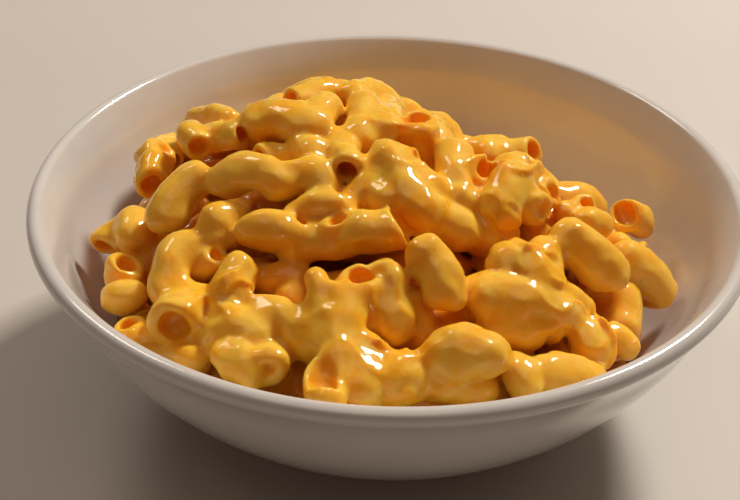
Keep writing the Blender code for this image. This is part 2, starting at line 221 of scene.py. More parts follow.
# The elbows that show, in millimetres: the two ends of the middle line, its bow,
# the lean of the bow in degrees (0 upwards, 90 to the right of someone who walks
# from the first end to the second), the width, for each end whether it is open
# (o), open with a narrow mouth (n), dimpled by sauce (s) or rounded (c), and the
# slant of its cuts: how much further the bowed side reaches for each millimetre
# across. Both ends are rounded where a row names none. The shortest and thinnest
# ones are clots and bridges of sauce.
Elbow = namedtuple("Elbow", "start end bow lean width ends slant", defaults=("cc", 0.0))
ELBOW_ROWS = (
    # The left edge, from the back to the front.
    ((-50, 24, 54), (-37, 9, 63), 2.5, -20, 7.5),
    ((-34, 0, 66), (-42, 5, 62), 0.4, -60, 6.8, "oc"),
    ((-44, -1, 63), (-47, 7, 63), 0.3, -105, 7.0, "oc"),
    ((-53, 5, 58), (-57, 7, 56), 0.5, 175, 8.6, "sc"),
    ((-55, -5, 55), (-54, 3, 57), 1.6, -120, 7.4, "oc"),
    ((-42, -12, 62), (-48, -21, 56), 1.5, 40, 9.4, "sc"),
    ((-64, -17, 46), (-55, -17, 50), 2.2, -80, 8.0, "oc", 0.2),
    ((-58, -13, 50), (-56, -20, 50), 0.6, -20, 8.2),
    ((-56, -29, 50), (-55, -31, 42), 1.3, 130, 8.2, "nc"),
    ((-58, -38, 46), (-53, -38, 47), 0.6, -20, 8.4),
    ((-52, -48, 48), (-52, -47, 40), 0.5, 135, 7.6, "nc"),
    ((-50, -51, 45), (-48, -52, 43), 0.8, -40, 7.6),
    ((-44, -54, 43), (-38, -58, 45), 0.6, -20, 8.0),
    ((-42, -54, 52), (-41, -44, 49), 0.6, -15, 10.8, "nc"),
    ((-41, -31, 56), (-37, -43, 50), 6.6, 90, 8.4),
    ((-36, -35, 57), (-42, -34, 52), 1.0, 175, 6.2, "oc"),
    ((-36, -26, 61), (-37, -30, 56), 0.6, 120, 8.4),
    ((-33, -24, 60), (-32, -30, 57), 0.6, 60, 5.0),
    # The front, from left to right.
    ((-30, -39, 57), (-31, -51, 51), 1.2, 90, 9.0),
    ((-33, -54, 48), (-25, -55, 50), 1.5, -20, 10.0),
    ((-26, -49, 51), (-12, -56, 51), 1.2, 20, 9.4),
    ((-31, -60, 48), (-27, -63, 48), 0.8, -40, 9.0),
    ((-22, -64, 50), (-22, -55, 44), 1.1, -15, 8.6, "sc"),
    ((-11, -75, 50), (-11, -70, 53), 0.3, -175, 8.6, "cn", 1.3),
    ((-15, -46, 60), (-14, -51, 57), 0.5, -60, 5.6),
    ((-11, -49, 57), (-10, -53, 55), 0.4, -60, 7.0),
    ((-13, -51, 55), (-12, -58, 51), 0.5, 90, 9.8),
    ((-13, -49, 60), (-8, -51, 57), 0.8, -30, 3.0),
    ((-6, -47, 61), (-3, -49, 53), 1.0, -170, 8.4, "nc"),
    ((-6, -48, 57), (-4, -67, 49), 4.2, 90, 9.2),
    ((-5, -58, 51), (-4, -69, 49), 0.4, -90, 9.0),
    ((-10, -51, 53), (-8, -59, 50), 0.6, 110, 9.0),
    ((-17, -54, 50), (-11, -57, 50), 0.6, -40, 9.5),
    ((0, -65, 48), (6, -64, 48), 0.6, -60, 9.0),
    ((0, -43, 58), (3, -52, 52), 1.2, 90, 9.2),
    ((6, -43, 53), (7, -50, 50), 1.1, 140, 8.5),
    ((7, -39, 62), (12, -47, 56), 0.8, -60, 9.2),
    ((23, -35, 58), (32, -39, 54), 0.8, -40, 10.4),
    ((20, -44, 54), (36, -43, 50), 1.6, -10, 10.4),
    ((22, -47, 50), (30, -47, 48), 0.9, -40, 9.6),
    ((17, -41, 54), (20, -44, 51), 0.5, -90, 7.0),
    ((32, -28, 56), (33, -36, 52), 1.0, -50, 8.0),
    ((35, -39, 52), (40, -38, 49), 1.0, -30, 6.5),
    ((12, -60, 50), (21, -59, 49), 3.4, -10, 10.6, "cs"),
    ((11, -62, 45), (19, -61, 44), 1.2, -30, 8.5),
    ((27, -57, 47), (29, -61, 46), 0.6, 90, 8.6),
    ((31, -58, 46), (41, -56, 43), 0.6, -40, 8.8),
    ((41, -44, 47), (42, -49, 44), 0.8, -30, 8.0),
    ((46, -42, 44), (49, -44, 42), 0.8, -30, 7.5),
    # The right edge, from the front to the back.
    ((51, -24, 42), (51, -33, 39), 0.6, -90, 8.5),
    ((52, -19, 48), (63, -16, 36), 1.2, -30, 9.6, "cs"),
    ((61, -3, 40), (54, -8, 45), 3.5, 135, 6.2, "oc"),
    ((56, 3, 47), (60, 7, 42), 0.2, 175, 8.2, "oc"),
    ((37, -25, 57), (48, -28, 50), 1.1, -30, 9.6),
    ((44, -9, 56), (39, -12, 56), 2.1, 145, 6.6, "oc"),
    ((43, -15, 55), (48, -12, 52), 0.6, -40, 7.0),
    ((36, -12, 61), (32, -6, 60), 1.4, -135, 6.8, "oc"),
    ((33, -20, 61), (27, -15, 63), 0.9, 150, 7.5, "sc"),
    ((27, -12, 64), (23, -22, 62), 1.5, -40, 9.5),
    ((33, 7, 61), (21, 4, 62), 2.5, 125, 7.4, "oc"),
    ((21, -12, 67), (21, -19, 62), 3.2, 165, 7.6, "oc"),
    ((25, -9, 65), (31, -7, 63), 0.8, -40, 7.0),
    # The top, from right to left.
    ((14, -5, 67), (16, -21, 62), 1.4, 80, 8.6),
    ((6, 1, 71), (7, 0, 63), 0.3, -175, 9.6, "oc"),
    ((-2, -13, 69), (8, -28, 64), 0.9, 90, 10.0),
    ((2, -16, 67), (10, -21, 64), 0.6, 60, 8.0),
    ((-4, -15, 67), (-1, -26, 65), 0.6, 140, 8.6),
    ((8, -27, 62), (16, -27, 59), 0.8, -50, 8.8),
    ((19, -26, 57), (25, -21, 56), 0.6, -50, 8.0),
    ((2, -32, 64), (-8, -33, 63), 1.2, -175, 10.0, "oc"),
    ((-11, -32, 65), (-14, -30, 60), 1.2, 170, 6.2, "oc"),
    ((-18, -31, 63), (-18, -30, 54), 0.3, 170, 5.0, "oc"),
    ((-20, -27, 62), (-9, -27, 64), 2.2, -30, 6.4),
    ((-21, -33, 61), (-28, -32, 60), 1.2, 30, 9.2),
    ((-9, -33, 60), (-21, -33, 59), 1.6, 100, 8.4),
    ((-18, -37, 54), (-26, -37, 52), 0.3, 40, 6.5),
    ((-20, -40, 52), (-20, -43, 50), 0.3, -120, 7.5),
    ((-37, -17, 62), (-23, -21, 65), 3.4, -30, 8.6),
    ((-22, -19, 64), (-14, -21, 65), 2.6, -30, 8.4),
    ((-31, 2, 67), (-17, -3, 69), 2.4, -30, 10.2),
    ((-30, -8, 65), (-23, -9, 65), 1.7, -100, 6.0, "oc"),
    ((-24, 11, 69), (-17, 17, 69), 0.5, 165, 7.4, "oc"),
    ((-18, 18, 67), (-13, 18, 67), 0.9, -20, 7.0),
    ((-9, 16, 68), (-3, 28, 63), 2.0, -30, 7.4),
    ((-2, 30, 61), (-2, -1, 69), 0.9, -100, 8.0),
    ((-7, 12, 69), (-8, -4, 68), 0.5, -100, 7.8),
    ((-15, 8, 70), (-18, -4, 69), 0.9, 70, 8.0),
    ((-10, -19, 69), (-11, -3, 67), 0.2, 20, 6.8, "oc", 0.3),
    ((-16, -9, 68), (-16, -17, 66), 1.1, 100, 7.0),
    ((-20, -7, 67), (-18, -11, 67), 0.8, -30, 7.0),
    ((-7, -20, 66), (-9, -24, 64), 0.6, -100, 7.5),
)
ELBOWS = tuple(Elbow(*row) for row in ELBOW_ROWS)


# ---------------------------------------------------------------- settings


class BowlSettings(PropertyGroup):
    """Sizes and colours of the bowl."""

    segments: IntProperty(
        name="Segments",
        description="Number of steps round the bowl",
        default=224,
        min=24,
        max=512,
    )
    glaze_color: FloatVectorProperty(
        name="Glaze",
        description="Colour of the glaze",
        default=(0.67, 0.645, 0.615),
        subtype="COLOR",
    )
    clay_color: FloatVectorProperty(
        name="Clay",
        description="Colour of the bare clay under the foot ring",
        default=(0.55, 0.47, 0.38),
        subtype="COLOR",
    )


class FoodSettings(PropertyGroup):
    """Sizes and colours of the macaroni and its sauce."""

    grain: FloatProperty(
        name="Grain",
        description="Distance between the points that the macaroni's shape is worked out at",
        default=0.0005,
        min=0.0003,
        max=0.002,
        unit="LENGTH",
    )
    fillet: FloatProperty(
        name="Sauce fillet",
        description="How far the sauce rounds the corner where two elbows touch",
        default=0.0016,
        min=0.0005,
        max=0.006,
        unit="LENGTH",
    )
    wall: FloatProperty(
        name="Pasta wall",
        description="Thickness of an elbow's wall with its coat of sauce",
        default=0.0014,
        min=0.0008,
        max=0.003,
        unit="LENGTH",
    )
    triangles: IntProperty(
        name="Triangles",
        description="The most triangles that the macaroni may have",
        default=196000,
        min=20000,
        max=199000,
    )
    seed: IntProperty(
        name="Seed",
        description="Picks how the elbows that fill the heap lie",
        default=11,
        min=0,
    )
    sauce_color: FloatVectorProperty(
        name="Sauce",
        description="Colour of the cheese sauce where it lies thin on the pasta",
        default=(0.98, 0.62, 0.09),
        subtype="COLOR",
    )
    # Partly real thicker sauce, partly painted shade: this deeper orange goes in the corners
    # between elbows and on sunk relief.
    thick_and_shade_color: FloatVectorProperty(
        name="Thick sauce and shade",
        description="Colour of the cheese sauce where it has gathered",
        default=(0.96, 0.46, 0.02),
        subtype="COLOR",
    )
    # Painted shade: the sauce darkens to this colour low under the dome, between the elbows, where
    # shade falls.
    deep_shade_color: FloatVectorProperty(
        name="Deep shade",
        description="Colour of the sauce low between the elbows",
        default=(0.70, 0.25, 0.01),
        subtype="COLOR",
    )
    # Painted glow and shade: a deeper, redder orange inside the elbows, for light shining through
    # the walls and the shade in the hollows.
    hollow_glow_shade_color: FloatVectorProperty(
        name="Hollows",
        description="Colour of the sauce inside the elbows",
        default=(0.90, 0.42, 0.02),
        subtype="COLOR",
    )
    # Painted shade: the core at the bottom of the gaps is almost black-red, for the shade down
    # there.
    core_shade_color: FloatVectorProperty(
        name="Core",
        description="Colour of the sauce at the bottom of the gaps",
        default=(0.30, 0.05, 0.002),
        subtype="COLOR",
    )


class StageSettings(PropertyGroup):
    """Floor and lights."""

    floor_color: FloatVectorProperty(
        name="Floor",
        description="Colour of the floor",
        default=(0.57, 0.53, 0.485),
        subtype="COLOR",
    )
    key_power: FloatProperty(
        name="Key light",
        description="Power of the light behind the bowl, to the right",
        default=13.5,
        min=0.0,
        unit="POWER",
    )
    fill_power: FloatProperty(
        name="Fill light",
        description="Power of the soft light over the bowl",
        default=1.6,
        min=0.0,
        unit="POWER",
    )


# ---------------------------------------------------------------- shapes


def outer_radius(z):
    """Radius of the bowl's outer wall at heights z.

    A power curve leaves the foot and turns upright, and a parabola near the top
    flares it out to meet the tilted lip.
    """
    share = np.clip((z - FOOT_HEIGHT) / (WALL_TOP_HEIGHT - FOOT_HEIGHT), 0.0, 1.0)
    flare = FLARE * np.maximum(0.0, (z - WALL_TOP_HEIGHT) / FLARE_HEIGHT + 1.0) ** 2
    reach = WALL_TOP_RADIUS - FLARE - WALL_START_RADIUS
    return WALL_START_RADIUS + reach * (1.0 - (1.0 - share) ** WALL_ROUNDNESS) + flare


def wall_section(depth, count=60):
    """Radii and heights of the surface that lies a depth inside the outer wall.

    Each point of the outer wall is moved square to the wall by the depth.
    """
    z = np.linspace(FOOT_HEIGHT, WALL_TOP_HEIGHT, count)
    low = np.maximum(z - SLOPE_STEP, FOOT_HEIGHT)
    high = np.minimum(z + SLOPE_STEP, WALL_TOP_HEIGHT)
    slope = (outer_radius(high) - outer_radius(low)) / (high - low)
    length = np.hypot(1.0, slope)
    return outer_radius(z) - depth / length, z + depth * slope / length


def inner_radius(z, gap=0.0):
    """Radius at heights z of the surface that lies a gap inside the inner wall."""
    radii, heights = wall_section(WALL + gap)
    return np.interp(z, heights, radii)


def contact_height(azimuth):
    """Height at which the food meets the wall: a mean with soft rises and dips, in degrees."""
    height = np.full(np.shape(azimuth), CONTACT_HEIGHT)
    for center, width, change in CONTACT_CHANGES:
        turn = (azimuth - center + 180.0) % 360.0 - 180.0
        height = height + change * np.exp(-((turn / width) ** 2))
    return height


def skin_height(x, y):
    """Height of the smooth dome: a paraboloid with dips, that falls ever faster to the wall."""
    azimuth = np.degrees(np.arctan2(y, x))
    contact = contact_height(azimuth)
    share = np.minimum(np.hypot(x, y) / inner_radius(contact, EDGE_GAP), 1.0)
    fall_y = np.where(y > PEAK[1], FALL_BACK, FALL_FRONT)
    dome = PEAK[2] - FALL_X * (x - PEAK[0]) ** 2 - fall_y * (y - PEAK[1]) ** 2
    for dip_x, dip_y, half_width, depth in DIPS:
        dome = dome - depth * np.exp(-((x - dip_x) ** 2 + (y - dip_y) ** 2) / half_width**2)
    return contact + (dome - contact) * (1.0 - share**EDGE_POWER) ** SIDE_POWER


def new_object(name, points, faces, material):
    """A smooth mesh object from points in millimetres."""
    mesh = bpy.data.meshes.new(name)
    mesh.from_pydata(np.asarray(points, dtype=float) * MM, [], faces)
    mesh.update()
    mesh.shade_smooth()
    mesh.materials.append(material)
    item = bpy.data.objects.new(name, mesh)
    bpy.context.collection.objects.link(item)
    return item


def ring_faces(rings, count):
    """Four-sided faces between neighbouring rings, each of count points."""
    ring = np.arange(rings - 1)[:, None] * count
    step = np.arange(count)[None, :]
    follow = (step + 1) % count
    above = ring + count
    quads = np.stack([ring + step, ring + follow, above + follow, above + step], axis=-1)
    return quads.reshape(-1, 4)


def fan_faces(middle, ring, count, upwards):
    """Triangles between one middle point and a ring of count points, by their numbers."""
    step = np.arange(count)
    follow = (step + 1) % count
    first, second = (step, follow) if upwards else (follow, step)
    return np.stack([np.full(count, middle), ring + first, ring + second], axis=-1).tolist()


def turned_surface(radii, heights, count):
    """Points and faces of a profile turned about the Z axis.

    The profile's first and last points lie on the axis, and each is a single
    point with a fan of triangles round it.
    """
    angle = np.linspace(0.0, math.tau, count, endpoint=False)
    r = radii[1:-1, None]
    x = r * np.cos(angle)
    y = r * np.sin(angle)
    z = np.broadcast_to(heights[1:-1, None], x.shape)
    body = np.stack([x, y, z], axis=-1).reshape(-1, 3)
    points = np.vstack([body, (0.0, 0.0, heights[0]), (0.0, 0.0, heights[-1])])
    rings = len(radii) - 2
    first = fan_faces(len(body), 0, count, upwards=False)
    last = fan_faces(len(body) + 1, (rings - 1) * count, count, upwards=True)
    return points, ring_faces(rings, count).tolist() + first + last


def bowl_profile():
    """Radii and heights of the bowl's half section, from under the base to the inside floor."""
    z = np.linspace(FOOT_HEIGHT, WALL_TOP_HEIGHT, PROFILE_STEPS)
    inner_r, inner_z = wall_section(WALL, PROFILE_STEPS)
    angle = np.linspace(0.0, math.pi, LIP_STEPS)[1:-1] - LIP_TILT
    lip_r = LIP_CENTER_RADIUS + LIP_RADIUS * np.cos(angle)
    lip_z = LIP_CENTER_HEIGHT + LIP_RADIUS * np.sin(angle)
    base_r = [0.0, FOOT_INNER - BASE_FLAT, FOOT_INNER - FOOT_CHAMFER]
    foot_r = base_r + [FOOT_INNER, FOOT_RADIUS - FOOT_BEVEL, FOOT_RADIUS]
    foot_z = [BASE_UNDERSIDE] * len(base_r) + [0.0, 0.0, FOOT_BEVEL]
    floor_r = [inner_r[0] - FLOOR_EASE, 0.0]
    floor_z = [inner_z[0], inner_z[0]]
    radii = np.concatenate([foot_r, outer_radius(z), lip_r, inner_r[::-1], floor_r])
    heights = np.concatenate([foot_z, z, lip_z, inner_z[::-1], floor_z])
    return radii, heights


# ------------------------------------------------- the macaroni as a field


class Room:
    """A block of evenly spaced points in the heap, and soft noises on it."""

    def __init__(self, step):
        low, high = (np.array(corner) for corner in ROOM)
        self.step = step
        self.low = low
        self.size = tuple(int(n) for n in np.ceil((high - low) / step).astype(int) + 1)
        self.axes = [
            (low[i] + step * np.arange(self.size[i])).astype(np.float32) for i in range(3)
        ]

    def window(self, low, high):
        """Slices of the points between two corners."""
        first = np.maximum(np.floor((np.asarray(low) - self.low) / self.step).astype(int), 0)
        last = np.ceil((np.asarray(high) - self.low) / self.step).astype(int) + 1
        last = np.minimum(last, self.size)
        return tuple(slice(a, b) for a, b in zip(first, last))

    def noise(self, seed, wavelength):
        """Smooth noise from about -1 to 1: random numbers on a coarse grid, in cubic splines."""
        draw = np.random.default_rng(seed)
        spread = [np.ptp(axis) / wavelength for axis in self.axes]
        count = [int(s) + 5 for s in spread]
        values = draw.uniform(-NOISE_PEAK, NOISE_PEAK, count).astype(np.float32)
        for i, axis in enumerate(self.axes):
            place = (axis - axis[0]) / wavelength + 1.0
            whole = np.floor(place).astype(int)
            t = (place - whole)[:, None]
            weights = np.concatenate(
                [
                    (1.0 - t) ** 3,
                    3.0 * t**3 - 6.0 * t**2 + 4.0,
                    -3.0 * t**3 + 3.0 * t**2 + 3.0 * t + 1.0,
                    t**3,
                ],
                axis=1,
            ) / 6.0
            values = np.moveaxis(values, i, 0)
            blended = 0.0
            for j in range(4):
                weight = weights[:, j].reshape((-1,) + (1,) * (values.ndim - 1))
                blended = blended + values[whole + j - 1] * weight
            values = np.moveaxis(blended.astype(np.float32), 0, i)
        return values

    def sample(self, values, points):
        """Values at any points, blended from the eight nearest of the block."""
        place = (points - self.low) / self.step
        whole = np.clip(np.floor(place).astype(int), 0, np.array(self.size) - 2)
        t = place - whole
        total = 0.0
        for corner in np.ndindex(2, 2, 2):
            share = np.prod(np.where(corner, t, 1.0 - t), axis=1)
            i, j, k = (whole + corner).T
            total = total + share * values[i, j, k]
        return total


def soft_least(a, b, fillet):
    """The lesser of two distances, with the corner between them rounded by a parabola."""
    near = np.maximum(fillet - np.abs(a - b), 0.0) / fillet
    return np.minimum(a, b) - near * near * fillet / 4.0


def soft_most(a, b, fillet):
    """The greater of two distances, rounded in the same way."""
    return -soft_least(-a, -b, fillet)


def elbow_axes(elbow):
    """Center, radius and half angle of an elbow's middle line, and its three directions.

    The middle line is an arc through both ends. With the chord c and the bow s its
    radius is (c * c / 4 + s * s) / (2 * s).
    """
    start = np.array(elbow.start, dtype=float)
    end = np.array(elbow.end, dtype=float)
    chord = np.linalg.norm(end - start)
    along = (end - start) / chord
    side = np.cross(along, (0.0, 0.0, 1.0))
    side /= np.linalg.norm(side)
    up = np.cross(side, along)
    lean = math.radians(elbow.lean)
    out = math.cos(lean) * up + math.sin(lean) * side
    bow = max(elbow.bow, 0.25)
    radius = (chord * chord / 4.0 + bow * bow) / (2.0 * bow)
    half = math.asin(min(chord / 2.0 / radius, 1.0))
    if bow > chord / 2.0:
        half = math.pi - half
    center = (start + end) / 2.0 + out * (bow - radius)
    return center, radius, half, out, along, np.cross(along, out)


def elbow_distance(x, y, z, elbow, wall):
    """Distances from an elbow's skin, negative in its wall, from its hollow and from its mouths.

    The elbow is a rod round its middle line with rounded ends, and a narrower rod
    is taken out of it from each open end, for less than half of the arc. The
    distance past an end is measured along the arc, from a cut that may be slanted.
    An end filled with sauce has a round dimple. A mouth is an open end's hollow
    and a little of the room in front of it.
    """
    center, radius, half, out, along, across = elbow_axes(elbow)
    dx, dy, dz = x - center[0], y - center[1], z - center[2]
    a = dx * out[0] + dy * out[1] + dz * out[2]
    b = dx * along[0] + dy * along[1] + dz * along[2]
    c = dx * across[0] + dy * across[1] + dz * across[2]
    angle = np.arctan2(b, a)
    outward = np.hypot(a, b) - radius
    from_line = np.hypot(outward, c)
    thick = elbow.width / 2.0
    body = hollow = mouth = None
    for sign, kind in zip((-1.0, 1.0), elbow.ends):
        past = (sign * angle - half) * radius
        if kind == "c":
            past = past - CAP_SHARE * thick
        else:
            past = (past - elbow.slant * outward) / math.hypot(1.0, elbow.slant)
        round_end = OPEN_ROUNDING if kind == "o" else END_ROUNDING[kind] * thick
        p = from_line - thick + round_end
        q = past + round_end
        rod = np.minimum(np.maximum(p, q), 0.0) - round_end
        rod = rod + np.hypot(np.maximum(p, 0.0), np.maximum(q, 0.0))
        bore = np.full_like(rod, FAR)
        opening = bore
        if kind in "on":
            inner = thick - wall if kind == "o" else NARROW_SHARE * thick
            depth = min(BORE_DEPTH, BORE_SHARE_OF_ARC * half * radius)
            bore = soft_most(from_line - inner, -past - depth, BORE_FILLET)
            opening = np.maximum(bore, past - MOUTH_REACH)
            rod = soft_most(rod, -bore, MOUTH_FILLET)
        elif kind == "s":
            bore = np.hypot(from_line, past) - DIMPLE_SHARE * thick
            rod = soft_most(rod, -bore, DIMPLE_FILLET)
        near = sign * angle > 0.0
        body = rod if body is None else np.where(near, rod, body)
        hollow = bore if hollow is None else np.where(near, bore, hollow)
        mouth = opening if mouth is None else np.where(near, opening, mouth)
    return body, hollow, mouth


def fill_elbows(seed):
    """Elbows on a loose grid: deep ones under those that show, and high ones where none lie.

    An elbow whose end would reach into the wall is drawn in towards the middle,
    and its ends follow the dome's slope.
    """
    draw = np.random.default_rng(seed)
    middles = np.array([(np.array(e.start) + np.array(e.end)) / 2.0 for e in ELBOWS])
    rows = []
    for depth, spacing in FILL_LAYERS:
        high = depth < HIGH_LAYER
        steps = int(FILL_GRID // spacing)
        for i, j in np.ndindex(2 * steps + 1, 2 * steps + 1):
            x, y = spacing * (np.array((i, j)) - steps + draw.uniform(-FILL_SHIFT, FILL_SHIFT, 2))
            turn = draw.uniform(0.0, math.tau)
            tilt = draw.uniform(-FILL_TILT, FILL_TILT)
            length = draw.uniform(*FILL_LENGTHS)
            bow = draw.uniform(*FILL_BOWS)
            lean = draw.uniform(*FILL_LEANS)
            width = draw.uniform(*FILL_WIDTHS)
            ends = "".join(draw.choice(("o", "s", "c"), 2)) if high else "cc"
            near = np.hypot(middles[:, 0] - x, middles[:, 1] - y).min()
            if math.hypot(x, y) > FILL_RADIUS or (high and near < FILL_CLEARANCE):
                continue
            half = length / 2.0 * np.array((math.cos(turn), math.sin(turn)))
            sunk = depth + bow * FILL_BOW_SUNK
            z = float(skin_height(x, y)) - sunk
            tips = [np.array((x, y)) + sign * half for sign in (-1.0, 1.0)]
            room_radius = inner_radius(z, width / 2.0 + 1.0)
            farthest = max(np.hypot(*tip) for tip in tips)
            if farthest > room_radius:
                tips = [tip * min(FILL_PULL * room_radius / farthest, 1.0) for tip in tips]
            rise = math.tan(tilt) * length / 2.0
            low, top = (float(skin_height(*tip)) - sunk for tip in tips)
            start = (*tips[0], max(low - rise, z - FILL_LOWEST))
            end = (*tips[1], max(top + rise, z - FILL_LOWEST))
            rows.append(Elbow(start, end, bow, lean, width, ends))
    return rows


def macaroni_field(room, fillet, wall, seed):
    """Four arrays on the room's points: distance, sauce in the corners, hollows and relief.

    The first is the distance from the sauced macaroni. Every elbow is bent a little
    by soft noise, and joined to the others by the soft least distance, whose fillets
    are the sauce. The mouths are then carved out again, and the relief is added. The
    second is the plain least distance less the first, the third the distance from
    the nearest elbow's hollow, and the fourth the relief: two noises less the
    ridges of crumpled sauce.
    """
    bend = [
        sum(far * room.noise(seed + shift + i, wavelength) for shift, far, wavelength in BENDS)
        for i in range(3)
    ]
    soft = np.full(room.size, FAR, dtype=np.float32)
    plain = soft.copy()
    hollows = soft.copy()
    mouths = soft.copy()
    for elbow in tuple(fill_elbows(seed)) + ELBOWS:
        ends = np.array((elbow.start, elbow.end), dtype=float)
        pad = elbow.width / 2.0 + elbow.bow + SKIN_REACH
        box = room.window(ends.min(axis=0) - pad, ends.max(axis=0) + pad)
        x, y, z = np.meshgrid(*(axis[part] for axis, part in zip(room.axes, box)), indexing="ij")
        distance, hollow, mouth = elbow_distance(
            x + bend[0][box], y + bend[1][box], z + bend[2][box], elbow, wall
        )
        soft[box] = soft_least(soft[box], distance.astype(np.float32), fillet)
        plain[box] = np.minimum(plain[box], distance)
        hollows[box] = np.minimum(hollows[box], hollow)
        mouths[box] = np.minimum(mouths[box], mouth)
    soft = soft_most(soft, -mouths, CARVED_FILLET)
    calm = FINE_RIPPLE_HEIGHT + FINE_RIPPLE_HEIGHT * room.noise(seed + 7, CALM_PATCHES)
    relief = calm * room.noise(seed + 5, FINE_RIPPLE)
    relief += BROAD_RIPPLE_HEIGHT * room.noise(seed + 6, BROAD_RIPPLE)
    relief -= crumpled_sauce(room, seed)
    soft += relief
    x, y = np.meshgrid(room.axes[0], room.axes[1], indexing="ij")
    floor = core_height(x, y) - CORE_OVERLAP
    below = floor[:, :, None] - room.axes[2][None, None, :]
    wall_radius = inner_radius(room.axes[2], WALL_GAP)
    outside = np.hypot(x, y)[:, :, None] - wall_radius[None, None, :]
    soft = np.maximum(soft, np.maximum(below, outside)).astype(np.float32)
    return soft, plain - soft, hollows, relief


def crumpled_sauce(room, seed):
    """How far the sauce stands up in sharp ridges: where a noise passes through zero.

    The ridges are high round each crumpled place and low elsewhere.
    """
    ridges = 0.0
    for step, spacing, height in RIDGES:
        noise = np.abs(room.noise(seed + step, spacing))
        ridges = ridges + height * np.maximum(1.0 - noise / RIDGE_WIDTH, 0.0)
    x, y = np.meshgrid(room.axes[0], room.axes[1], indexing="ij")
    strength = np.full(x.shape, RIDGES_ELSEWHERE)
    for place_x, place_y, half_width in CRUMPLED:
        near = np.exp(-((x - place_x) ** 2 + (y - place_y) ** 2) / half_width**2)
        strength += (1.0 - RIDGES_ELSEWHERE) * near
    return ridges * np.minimum(strength, 1.0)[:, :, None].astype(np.float32)


def core_height(x, y):
    """Height of the sauce and hidden pasta under the elbows that show: the dome, sunk."""
    sunk = skin_height(x, y) - CORE_DEPTH
    contact = contact_height(np.degrees(np.arctan2(y, x)))
    return np.maximum(sunk, contact - CORE_EDGE_DROP)


def core_surface(count=240, top_rings=69, side_rings=7):
    """Points and faces of the core: rings up the bowl's wall, then inwards over the top.

    The top is the sunk dome with ripples, which are products of two sines whose
    phases are bent by further sines and which fade towards the wall.
    """
    angle = np.linspace(0.0, math.tau, count, endpoint=False)
    edge_height = contact_height(np.degrees(angle)) - CORE_EDGE_DROP
    floor = wall_section(WALL + CORE_GAP)[1][0]
    level = np.linspace(0.0, 1.0, side_rings + 1)[:0:-1, None]
    side_z = edge_height + (floor - edge_height) * level
    side_radius = inner_radius(side_z, CORE_GAP)
    share = np.linspace(1.0, 0.0, top_rings + 1)[:-1, None]
    radius = np.vstack([side_radius, inner_radius(edge_height, CORE_GAP) * share])
    x = radius * np.cos(angle)
    y = radius * np.sin(angle)
    top_x, top_y = x[side_rings:], y[side_rings:]
    ripple = np.sin(top_x / 2.1 + 1.3 * np.sin(top_y / 3.7))
    ripple = ripple * np.sin(top_y / 2.6 + 1.1 * np.sin(top_x / 3.1))
    rippled = core_height(top_x, top_y) + CORE_RIPPLE * ripple * (1.0 - share**6)
    z = np.vstack([side_z, np.where(share < 1.0, rippled, edge_height)])
    body = np.stack([x, y, z], axis=-1).reshape(-1, 3)
    middle_top = (0.0, 0.0, float(core_height(0.0, 0.0)))
    points = np.vstack([body, (0.0, 0.0, floor), middle_top])
    low_fan = fan_faces(len(body), 0, count, upwards=False)
    top_fan = fan_faces(len(body) + 1, (len(x) - 1) * count, count, upwards=True)
    return points, ring_faces(len(x), count).tolist() + low_fan + top_fan


def fused_surface(room, field):
    """Points and four-sided faces of the surface where a field on the room's points is zero.

    One point lies in each cell whose corners differ in sign, at the mean of the
    places where the field crosses zero on the cell's edges. A face joins the four
    cells round each grid edge that crosses.
    """
    inside = field < 0.0
    corners = list(np.ndindex(2, 2, 2))
    n = [size - 1 for size in field.shape]
    count = np.zeros(n, dtype=np.uint8)
    for i, j, k in corners:
        count += inside[i : n[0] + i, j : n[1] + j, k : n[2] + k]
    cells = np.argwhere((count > 0) & (count < 8))
    number = np.full(n, -1, dtype=np.int64)
    number[tuple(cells.T)] = np.arange(len(cells))
    values = np.stack([field[tuple((cells + corner).T)] for corner in corners], axis=1)
    total = np.zeros((len(cells), 3))
    crossings = np.zeros((len(cells), 1))
    for a, start in enumerate(corners):
        for b, end in enumerate(corners):
            if b <= a or np.abs(np.subtract(start, end)).sum() != 1:
                continue
            va, vb = values[:, a : a + 1], values[:, b : b + 1]
            crosses = (va < 0.0) != (vb < 0.0)
            t = np.where(crosses, va / np.where(crosses, va - vb, 1.0), 0.0)
            total += crosses * (np.array(start) + t * np.subtract(end, start))
            crossings += crosses
    points = room.low + room.step * (cells + total / crossings)
    quads = []
    for axis in range(3):
        u, v = (axis + 1) % 3, (axis + 2) % 3
        low = [slice(1, size - 1) for size in field.shape]
        low[axis] = slice(0, field.shape[axis] - 1)
        high = list(low)
        high[axis] = slice(1, field.shape[axis])
        here, there = inside[tuple(low)], inside[tuple(high)]
        edges = np.argwhere(here != there)
        leaving = here[tuple(edges.T)]
        start = [1, 1, 1]
        start[axis] = 0
        edges = edges + start
        step_u, step_v = np.eye(3, dtype=int)[u], np.eye(3, dtype=int)[v]
        around = (edges - step_u - step_v, edges - step_v, edges, edges - step_u)
        faces = np.stack([number[tuple(cell.T)] for cell in around], axis=1)
        faces[~leaving] = faces[~leaving][:, ::-1]
        quads.append(faces)
    return settled(room, field, points), np.concatenate(quads)


def settled(room, field, points):
    """Points moved along the field's slope to where it is zero, by half a step at most.

    The move is the value times the slope, over the slope's squared length.
    """
    half = 0.5 * room.step
    for _ in range(2):
        value = room.sample(field, points)
        slope = np.stack(
            [
                room.sample(field, points + half * way) - room.sample(field, points - half * way)
                for way in np.eye(3)
            ],
            axis=1,
        ) / (2.0 * half)
        size = np.maximum((slope * slope).sum(axis=1), 0.2)
        points = points - np.clip(value / size, -half, half)[:, None] * slope
    return points


